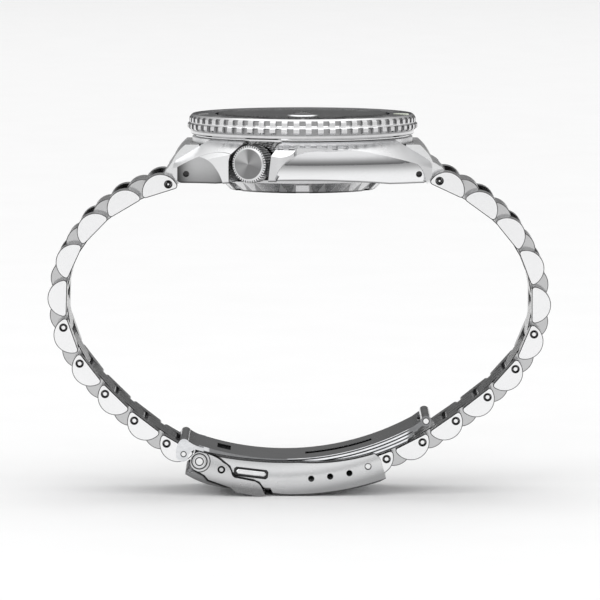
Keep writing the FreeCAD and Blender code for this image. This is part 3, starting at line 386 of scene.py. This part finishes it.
def bladeLook():
    look = steel("bladeSteel", **bladeSteel)
    x, y, z = look.axes()
    dy = y - bladeMiddle[0]
    dz = z - bladeMiddle[1]
    # painted highlight and shade on the side faces: light and dark stripes along the rails, darker beyond
    # them, lighter at the ear
    railShade = (((dy * dy + dz * dz).math("SQRT") - 48.55 * mm) * (2 * math.pi / (0.56 * mm))).math("COSINE")
    side = look.axes("Normal")[0].math("ABSOLUTE").ramp(0.8, 0.95)
    run = y.ramp(-2.9 * mm, -2.5 * mm) * y.ramp(19.4 * mm, 18.6 * mm)
    base = look.shader.inputs["Base Color"].links[0].from_socket
    tone = run.blend(y.ramp(-16.6 * mm, -17.0 * mm).mix(0.55, 1.7), railShade.ramp(-0.5, 0.1).mix(0.16, 2.1))
    look.put("Base Color", Value(look, base).times(side.blend(1.0, tone)))
    return look


bladeLook().dress("clasp_inner_blade", "clasp_middle_blade")

pinSteel = {"light": (0.88, 0.88, 0.885), "dark": (0.76, 0.76, 0.765), "gloss": 0.09, "satin": 0.13,
            "grain": (4.0, 0.6, 0.6), "depth": 3.0e-7}
# painted shade: a dark ring round the pivot pin head
steel("pinSteel", pits=[(hookSpot, 0.62 * mm, 0.82 * mm)], **pinSteel).dress(
    "clasp_spring_bar", "clasp_hinge_pins", "clasp_pivot_pin", "crown_tube", "winding_stem",
                                                                             "bezel_click_spring")


def hiddenLook(name, reach):  # painted shade: dark beyond a depth along X, where the part sits in a hole, bright outside it
    look = steel(name, **pinSteel)
    holeShade = look.axes()[0].math("ABSOLUTE").ramp(*reach)
    look.shade(holeShade.mix(1.0, 0.06))
    return look


hiddenLook("lugBarSteel", (11.6 * mm, 12.0 * mm)).dress("lug_spring_bars")
hiddenLook("buttonSteel", (9.35 * mm, 9.2 * mm)).dress("clasp_button_near", "clasp_button_far")
print("steels done")


def bezelLook():
    look = Finish("bezelSteel", Metallic=1.0)
    x, y, z = look.axes()
    radius = (x * x + y * y).math("SQRT")
    wall = look.axes("Normal")[2].math("ABSOLUTE").ramp(0.5, 0.2)
    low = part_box("bezel_ring")[0][2]
    ribs = z.ramp(low + 0.75 * mm, low + 0.85 * mm)
    recess = radius.ramp(20.38 * mm, 20.24 * mm) * wall * ribs
    grime = look.noise(look.place(), 900.0, 3.0)
    arc = look.noise(look.vector(angleRound(look, y, x) * 3.0, radius * 1200.0, z * 1200.0), 2.0, 3.0)
    tone = (grime * 0.5 + arc * 0.5).ramp(0.3, 0.7)
    # painted shade: a dark line along the bottom edge and in the groove
    groove = ((z - low) - 0.7 * mm).math("ABSOLUTE").ramp(0.12 * mm, 0.06 * mm)
    shadeLine = z.ramp(low + 0.24 * mm, low + 0.16 * mm) + groove * 0.6
    # painted shade: the windows between the ribs darker
    bright = tone.mix(0.7, 0.8) * recess.mix(1.0, 0.5) * (shadeLine * wall).mix(1.0, 0.12)
    look.put("Base Color", bright.colour((0, 0, 0), (1.0, 1.0, 1.01)))
    look.put("Roughness", arc.mix(0.1, 0.2) + recess * 0.22)
    look.bump(arc, 4.0e-7)
    return look


def crownLook():
    look = Finish("crownSteel", Metallic=1.0)
    x, y, z = look.axes()
    lean = math.radians(-25.5)
    lo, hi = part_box("crown")
    middle = (lo[2] + hi[2]) / 2
    across = y * math.cos(lean) - x * math.sin(lean)
    up = z - middle
    along = x * math.cos(lean) + y * math.sin(lean)
    face = along.ramp(22.1 * mm, 22.25 * mm)
    turn = angleRound(look, up, across)
    out = (across * across + up * up).math("SQRT")
    rays = look.noise(look.vector(turn * 60.0, out * 30.0, 0.0), 3.0, 4.0, 0.7)
    # painted highlight: bright fans and a wide sheen across the face
    highlightFans = (turn * (2 * math.pi) - 2.3).math("COSINE").ramp(0.72, 1.0)
    wide = (turn * (4 * math.pi) - 0.9).math("COSINE").mix(0.0, 1.0)
    tone = rays * 0.2 + highlightFans * 0.6 + wide * 0.25
    hub = out.ramp(2.6 * mm, 2.75 * mm)
    shine = tone.mix(0.18, 0.72)
    # painted highlight and shade: light and dark stripes round the knurled edge
    knurlShade = (turn * (2 * math.pi * 44)).math("COSINE").ramp(-0.4, 0.4).mix(0.07, 0.85)
    shade = (face * hub.mix(1.0, 0.0)).blend(out.ramp(2.92 * mm, 3.0 * mm).blend(0.84, knurlShade), shine)
    look.put("Base Color", shade.colour((0, 0, 0), (1.0, 1.003, 1.01)))
    look.put("Roughness", face.mix(0.14, 0.3) + rays.mix(-0.05, 0.05))
    look.bump(rays * face, 4.0e-7)
    return look


def insertLook():
    look = Finish("insertFace", Coat_Weight=0.6, Coat_Roughness=0.12, Metallic=0.75)
    x, y, z = look.axes()
    radius = (x * x + y * y).math("SQRT")
    arc = look.noise(look.vector(angleRound(look, y, x) * 2.0, radius * 5000.0, 0.0), 3.0, 4.0, 0.6)
    speck = look.noise(look.place(), 3000.0, 2.0)
    look.put("Base Color", (arc * 0.6 + speck * 0.4).colour((0.025, 0.026, 0.03), (0.07, 0.072, 0.08)))
    look.put("Roughness", arc.mix(0.26, 0.42))
    look.bump(arc, 8.0e-7)
    return look


def dialLook():
    look = Finish("dialFace", Coat_Weight=0.3, Coat_Roughness=0.2)
    x, y, z = look.axes()
    radius = (x * x + y * y).math("SQRT")
    turn = angleRound(look, y, x)
    minute = (turn * 60.0 + 0.5).math("FRACT")
    tick = (minute - 0.5).math("ABSOLUTE").ramp(0.1, 0.06)
    band = radius.ramp(13.05 * mm, 13.15 * mm) * radius.ramp(14.1 * mm, 14.0 * mm)
    grit = look.noise(look.place(), 2400.0, 4.0, 0.7)
    ink = tick * band
    look.put("Base Color", ink.colour((0.018, 0.019, 0.022), (0.82, 0.82, 0.8)))
    look.put("Roughness", grit.mix(0.38, 0.6))
    look.bump(grit, 3.0e-6)
    return look


def plateLook(name, light, dark, across, stripe):
    look = Finish(name, Metallic=1.0)
    x, y, z = look.axes()
    waves = ((x * across[0] + y * across[1]) * (2 * math.pi / stripe)).math("SINE").mix(0.0, 1.0)
    grain = look.noise(look.stretched(6.0 * across[1] + 0.3, 6.0 * across[0] + 0.3, 1.0), 900.0, 3.0)
    look.put("Base Color", (waves * 0.5 + grain * 0.5).colour(dark, light))
    look.put("Roughness", waves.mix(0.16, 0.34) + grain.mix(-0.05, 0.05))
    look.bump(waves * 0.6 + grain * 0.4, 3.0e-6)
    return look


def plainLook(name, light, dark, rough, scale, depth, **sockets):
    look = Finish(name, **sockets)
    speck = look.noise(look.place(), scale, 4.0, 0.6)
    look.put("Base Color", speck.ramp(0.3, 0.7).colour(dark, light))
    look.put("Roughness", speck.mix(rough - 0.08, rough + 0.08))
    look.bump(speck, depth)
    return look


def glassLook(name, tint):
    look = Finish(name, Transmission_Weight=1.0, IOR=1.6, Base_Color=tint)
    smudge = look.noise(look.place(), 90.0, 2.0)
    x, y, z = look.axes()
    dx = x - 8.6 * mm
    ring = ((dx * dx + y * y).math("SQRT") - 2.66 * mm).math("ABSOLUTE").ramp(0.2 * mm, 0.12 * mm)
    lens = ring * z.ramp(36.0 * mm, 36.1 * mm)
    look.put("Roughness", smudge.ramp(0.45, 0.8).mix(0.0, 0.03) + lens * 0.2)
    look.put("Metallic", lens)
    return look


def backLook():
    look = Finish("backSteel", Metallic=1.0)
    x, y, z = look.axes()
    radius = (x * x + y * y).math("SQRT")
    turn = angleRound(look, y, x)
    saw = ((turn * 36.0).math("FRACT") - 0.5).math("ABSOLUTE")
    lo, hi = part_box("caseback_ring")
    height = (z - lo[2]) / (1.5 * mm)
    wedge = (saw + height * 0.28).ramp(0.36, 0.32) * height.ramp(0.1, 0.2) * radius.ramp(13.2 * mm,
                                                                                         13.3 * mm)
    arc = look.noise(look.vector(turn * 3.0, radius * 3000.0, z * 3000.0), 2.0, 4.0)
    # painted shade: darker along the bottom edge
    footShade = (z - lo[2]).ramp(0.12 * mm, 0.4 * mm).mix(0.1, 1.0)
    bright = arc.mix(0.56, 0.76) * wedge.mix(1.0, 0.6) * footShade
    look.put("Base Color", bright.colour((0, 0, 0), (1, 1, 1.01)))
    look.put("Roughness", arc.mix(0.14, 0.26) + wedge * 0.2)
    look.bump(arc - wedge * 1.5, 1.5e-6)
    return look


bezelLook().dress("bezel_ring")
crownLook().dress("crown")
insertLook().dress("bezel_insert")
dialLook().dress("dial")
backLook().dress("caseback_ring")
glassLook("crystalGlass", (0.97, 0.985, 0.99)).dress("crystal")
glassLook("backGlass", (0.97, 0.98, 0.98)).dress("caseback_window")
plateLook("rotorSteel", (0.78, 0.77, 0.74), (0.6, 0.59, 0.57), (0.8, 0.6),
          0.9 * mm).dress("winding_rotor")
plateLook("bridgeSteel", (0.76, 0.75, 0.72), (0.56, 0.55, 0.53), (1.0, 0.2), 1.3 * mm).dress(
    "mainplate", "train_bridge", "balance_cock")
plainLook("wheelBrass", (0.86, 0.64, 0.28), (0.7, 0.5, 0.2), 0.25, 1500.0, 6e-7, Metallic=1.0).dress(
    "gear_train", "balance_wheel", "cannon_arbors")
plainLook("blueSpring", (0.12, 0.2, 0.5), (0.08, 0.12, 0.36), 0.22, 2500.0, 4e-7,
          Metallic=1.0).dress("hairspring")
plainLook("handSteel", (0.86, 0.86, 0.87), (0.74, 0.74, 0.75), 0.16, 1800.0, 3e-7, Metallic=1.0).dress(
    "hour_hand", "minute_hand", "seconds_hand")
glow = plainLook("lumePaint", (0.86, 0.9, 0.78), (0.78, 0.83, 0.7), 0.55, 3500.0, 2e-6)
glow.dress("hour_markers")
plainLook("datePaint", (0.9, 0.9, 0.88), (0.84, 0.84, 0.82), 0.5, 2500.0, 6e-7).dress("date_disc")
plainLook("chapterPlastic", (0.05, 0.052, 0.057), (0.03, 0.031, 0.035), 0.4, 2200.0,
          1e-6).dress("chapter_ring")
plainLook("gasketRubber", (0.035, 0.035, 0.036), (0.02, 0.02, 0.021), 0.65, 2600.0,
          2e-6).dress("crystal_gasket")
plainLook("holderPlastic", (0.78, 0.78, 0.76), (0.7, 0.7, 0.68), 0.5, 1800.0,
          1e-6).dress("movement_holder")
print("head materials done")


def addMesh(name, shape, look, body):
    data = bpy.data.meshes.new(name)
    shape.to_mesh(data)
    shape.free()
    made = bpy.data.objects.new(name, data)
    bpy.context.scene.collection.objects.link(made)
    data.materials.append(look.material)
    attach(made, body)
    return made


def slab(name, corners, thick, place, look, body, edge):
    shape = bmesh.new()
    ring = [shape.verts.new((x, y, 0)) for x, y in corners]
    face = shape.faces.new(ring)
    raised = bmesh.ops.extrude_face_region(shape, geom=[face])["geom"]
    bmesh.ops.translate(shape, vec=(0, 0, thick),
                        verts=[v for v in raised if isinstance(v, bmesh.types.BMVert)])
    bmesh.ops.recalc_face_normals(shape, faces=shape.faces)
    bmesh.ops.bevel(shape, geom=shape.edges[:], offset=edge, segments=2, affect="EDGES")
    bmesh.ops.transform(shape, matrix=place, verts=shape.verts)
    return addMesh(name, shape, look, body)


def lathe(name, profile, place, look, body):
    shape = bmesh.new()
    points = [shape.verts.new((r, 0, z)) for r, z in profile]
    edges = [shape.edges.new(pair) for pair in zip(points, points[1:])]
    bmesh.ops.spin(shape, geom=points + edges, axis=(0, 0, 1), cent=(0, 0, 0), angle=2 * math.pi,
                   steps=32)
    bmesh.ops.remove_doubles(shape, verts=shape.verts, dist=1e-7)
    bmesh.ops.recalc_face_normals(shape, faces=shape.faces)
    for face in shape.faces:
        face.smooth = True
    bmesh.ops.transform(shape, matrix=place, verts=shape.verts)
    return addMesh(name, shape, look, body)


def label(name, words, size, thick, place, look, body):
    data = bpy.data.curves.new(name, "FONT")
    data.body = words
    data.size = size
    data.align_x = "CENTER"
    data.align_y = "CENTER"
    data.extrude = thick
    data.bevel_depth = thick * 0.3
    data.materials.append(look.material)
    made = bpy.data.objects.new(name, data)
    bpy.context.scene.collection.objects.link(made)
    made.matrix_world = place
    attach(made, body)


def onRing(degrees, radius, height, tilt=0.0):
    turn = math.radians(degrees)
    spot = Matrix.Translation((radius * math.cos(turn), radius * math.sin(turn), height))
    return spot @ Matrix.Rotation(turn - math.pi / 2, 4, "Z") @ Matrix.Rotation(tilt, 4, "X")


scale = {"radius": 17.75 * mm, "tilt": -0.0512, "height": 2.55 * mm, "thick": 0.035 * mm}
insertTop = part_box("bezel_insert")[1][2] - 0.105 * mm
ink = plainLook("scalePaint", (0.36, 0.36, 0.36), (0.28, 0.28, 0.28), 0.45, 3000.0, 1e-6)
for minute in range(0, 60, 5):
    seat = onRing(90 - 6 * minute, scale["radius"], insertTop, scale["tilt"])
    if minute == 0:
        slab("zeroMark", [(-1.5 * mm, 1.4 * mm), (0, -1.4 * mm), (1.5 * mm, 1.4 * mm)], 0.09 * mm, seat,
             glow,
             "bezel", 0.03 * mm)
    elif minute % 10 == 0:
        label("scale_%02d" % minute, str(minute), scale["height"], scale["thick"], seat, ink, "bezel")
    else:
        slab("bar_%02d" % minute, [(-0.28 * mm, -1.1 * mm), (0.28 * mm, -1.1 * mm), (0.28 * mm, 1.1 * mm),
                                   (-0.28 * mm, 1.1 * mm)], 0.09 * mm, seat, ink, "bezel",
             0.03 * mm)

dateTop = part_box("date_disc")[1][2]
black = plainLook("dateInk", (0.03, 0.03, 0.03), (0.015, 0.015, 0.016), 0.5, 3000.0, 4e-7)
for day in range(1, 32):
    turn = -360.0 / 31 * (day - 14)
    label("day_%02d" % day, str(day), 1.55 * mm, 0.012 * mm,
          Matrix.Rotation(math.radians(turn), 4,
                          "Z") @ Matrix.Translation((8.8 * mm, 0, dateTop + 0.012 * mm)),
          black, "date")

hands = {"hour": (60.0, 3.4, 5.9, 0.26), "minute": (-30.0, 4.6, 9.0, 0.2),
         "seconds": (165.0, 8.6, 9.8, 0.09)}
for body, (degrees, start, end, half) in hands.items():
    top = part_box(body + "_hand")[1][2]
    turn = Matrix.Rotation(math.radians(90 - degrees), 4,
                           "Z") @ Matrix.Translation((0, 0, top - 0.01 * mm))
    slab(body + "Lume", [(start * mm, -half * mm), (end * mm, -half * mm), (end * mm, half * mm),
                         (start * mm, half * mm)], 0.05 * mm, turn, glow, body, 0.015 * mm)

ruby = Finish("ruby", Transmission_Weight=0.5, IOR=1.76, Coat_Weight=0.5)
grainRuby = ruby.noise(ruby.place(), 1500.0)
ruby.put("Base Color", grainRuby.colour((0.62, 0.02, 0.08), (0.82, 0.06, 0.14)))
ruby.put("Roughness", grainRuby.mix(0.05, 0.14))
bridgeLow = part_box("train_bridge")[0][2] + 1.8 * mm
for spot, (x, y) in enumerate(((0.6, 2.2), (4.2, 4.6), (6.6, 0.6), (-8.2, 3.0))):
    lathe("jewel_%d" % spot, [(0.18 * mm, 0.02 * mm), (0.24 * mm, -0.06 * mm), (0.5 * mm, -0.07 * mm),
                              (0.58 * mm, 0.0), (0.58 * mm, 0.05 * mm)],
          Matrix.Translation((x * mm, y * mm, bridgeLow)), ruby, "case")
screwLook = plainLook("screwSteel", (0.8, 0.8, 0.81), (0.66, 0.66, 0.67), 0.18, 2000.0, 4e-7,
                      Metallic=1.0)
for spot, (x, y) in enumerate(((-10.4, 4.6), (-6.0, 10.2), (6.4, 9.6), (10.6, 2.8))):
    lathe("screw_%d" % spot, [(0.0, -0.1 * mm), (0.16 * mm, -0.1 * mm), (0.18 * mm, -0.22 * mm),
                              (0.8 * mm, -0.22 * mm),
                              (0.92 * mm, -0.14 * mm), (0.92 * mm, 0.02 * mm)],
          Matrix.Translation((x * mm, y * mm, bridgeLow)), screwLook, "case")
print("details done")


def studioFloor():
    low = cadBox[0][2] - 0.05 * mm
    bpy.ops.mesh.primitive_plane_add(size=12.0, location=(0, 0, low))
    floor = bpy.context.object
    floor.name = "floor"
    look = Finish("floorPaint")
    speck = look.noise(look.place(), 40.0, 4.0)
    look.put("Base Color", speck.colour((0.9, 0.9, 0.9), (0.93, 0.93, 0.93)))
    look.put("Roughness", speck.mix(0.7, 0.8))
    floor.data.materials.append(look.material)


def lamp(name, place, target, size, power):
    data = bpy.data.lights.new(name, "AREA")
    data.shape = "RECTANGLE"
    data.size, data.size_y = size
    data.energy = power
    made = bpy.data.objects.new(name, data)
    made.location = place
    made.rotation_euler = (Vector(target) - Vector(place)).to_track_quat("-Z", "Y").to_euler()
    bpy.context.scene.collection.objects.link(made)


def sky():
    world = bpy.data.worlds.new("studio")
    bpy.context.scene.world = world
    world.use_nodes = True
    tree = world.node_tree
    back = tree.nodes["Background"]
    coord = tree.nodes.new("ShaderNodeTexCoord")
    parts = tree.nodes.new("ShaderNodeSeparateXYZ")
    tree.links.new(coord.outputs["Generated"], parts.inputs[0])
    rise = tree.nodes.new("ShaderNodeValToRGB")
    stops = [(0.0, 0.3), (0.06, 0.46), (0.25, 0.92), (0.6, 1.0)]
    rise.color_ramp.elements[0].color = (0.3, 0.3, 0.303, 1)
    rise.color_ramp.elements[1].position = stops[-1][0]
    for spot, level in stops[1:-1]:
        rise.color_ramp.elements.new(spot).color = (level, level, level * 1.005, 1)
    tree.links.new(parts.outputs[2], rise.inputs[0])
    side = tree.nodes.new("ShaderNodeMapRange")
    tree.links.new(parts.outputs[0], side.inputs["Value"])
    for key, value in (("From Min", -0.95), ("From Max", -0.2), ("To Min", 0.3), ("To Max", 1.0)):
        side.inputs[key].default_value = value
    tree.links.new(rise.outputs[0], back.inputs[0])
    tree.links.new(side.outputs[0], back.inputs[1])


def lens():
    data = bpy.data.cameras.new("camera")
    data.lens = 365.0
    data.sensor_width = 36.0
    data.clip_start = 0.05
    data.clip_end = 20.0
    made = bpy.data.objects.new("camera", data)
    aim = Vector((0, -0.45 * mm, 2.2 * mm))
    rise = math.radians(5.0)
    back = Vector((math.cos(rise), 0, math.sin(rise)))
    made.location = aim + back * 1.1
    made.rotation_euler = (-back).to_track_quat("-Z", "Y").to_euler()
    bpy.context.scene.collection.objects.link(made)
    bpy.context.scene.camera = made


studioFloor()
lamp("overhead", (0.25, 0.0, 0.9), (0.15, 0, 0), (0.9, 1.2), 1.8)
lamp("front", (1.1, -0.6, 0.6), (0.2, 0, 0), (0.6, 0.5), 1.2)
lamp("backWash", (-1.4, 0.0, 1.7), (-1.2, 0, 0), (2.2, 2.2), 9.0)
sky()
lens()
bpy.context.scene.view_settings.view_transform = "Standard"
print("studio done")
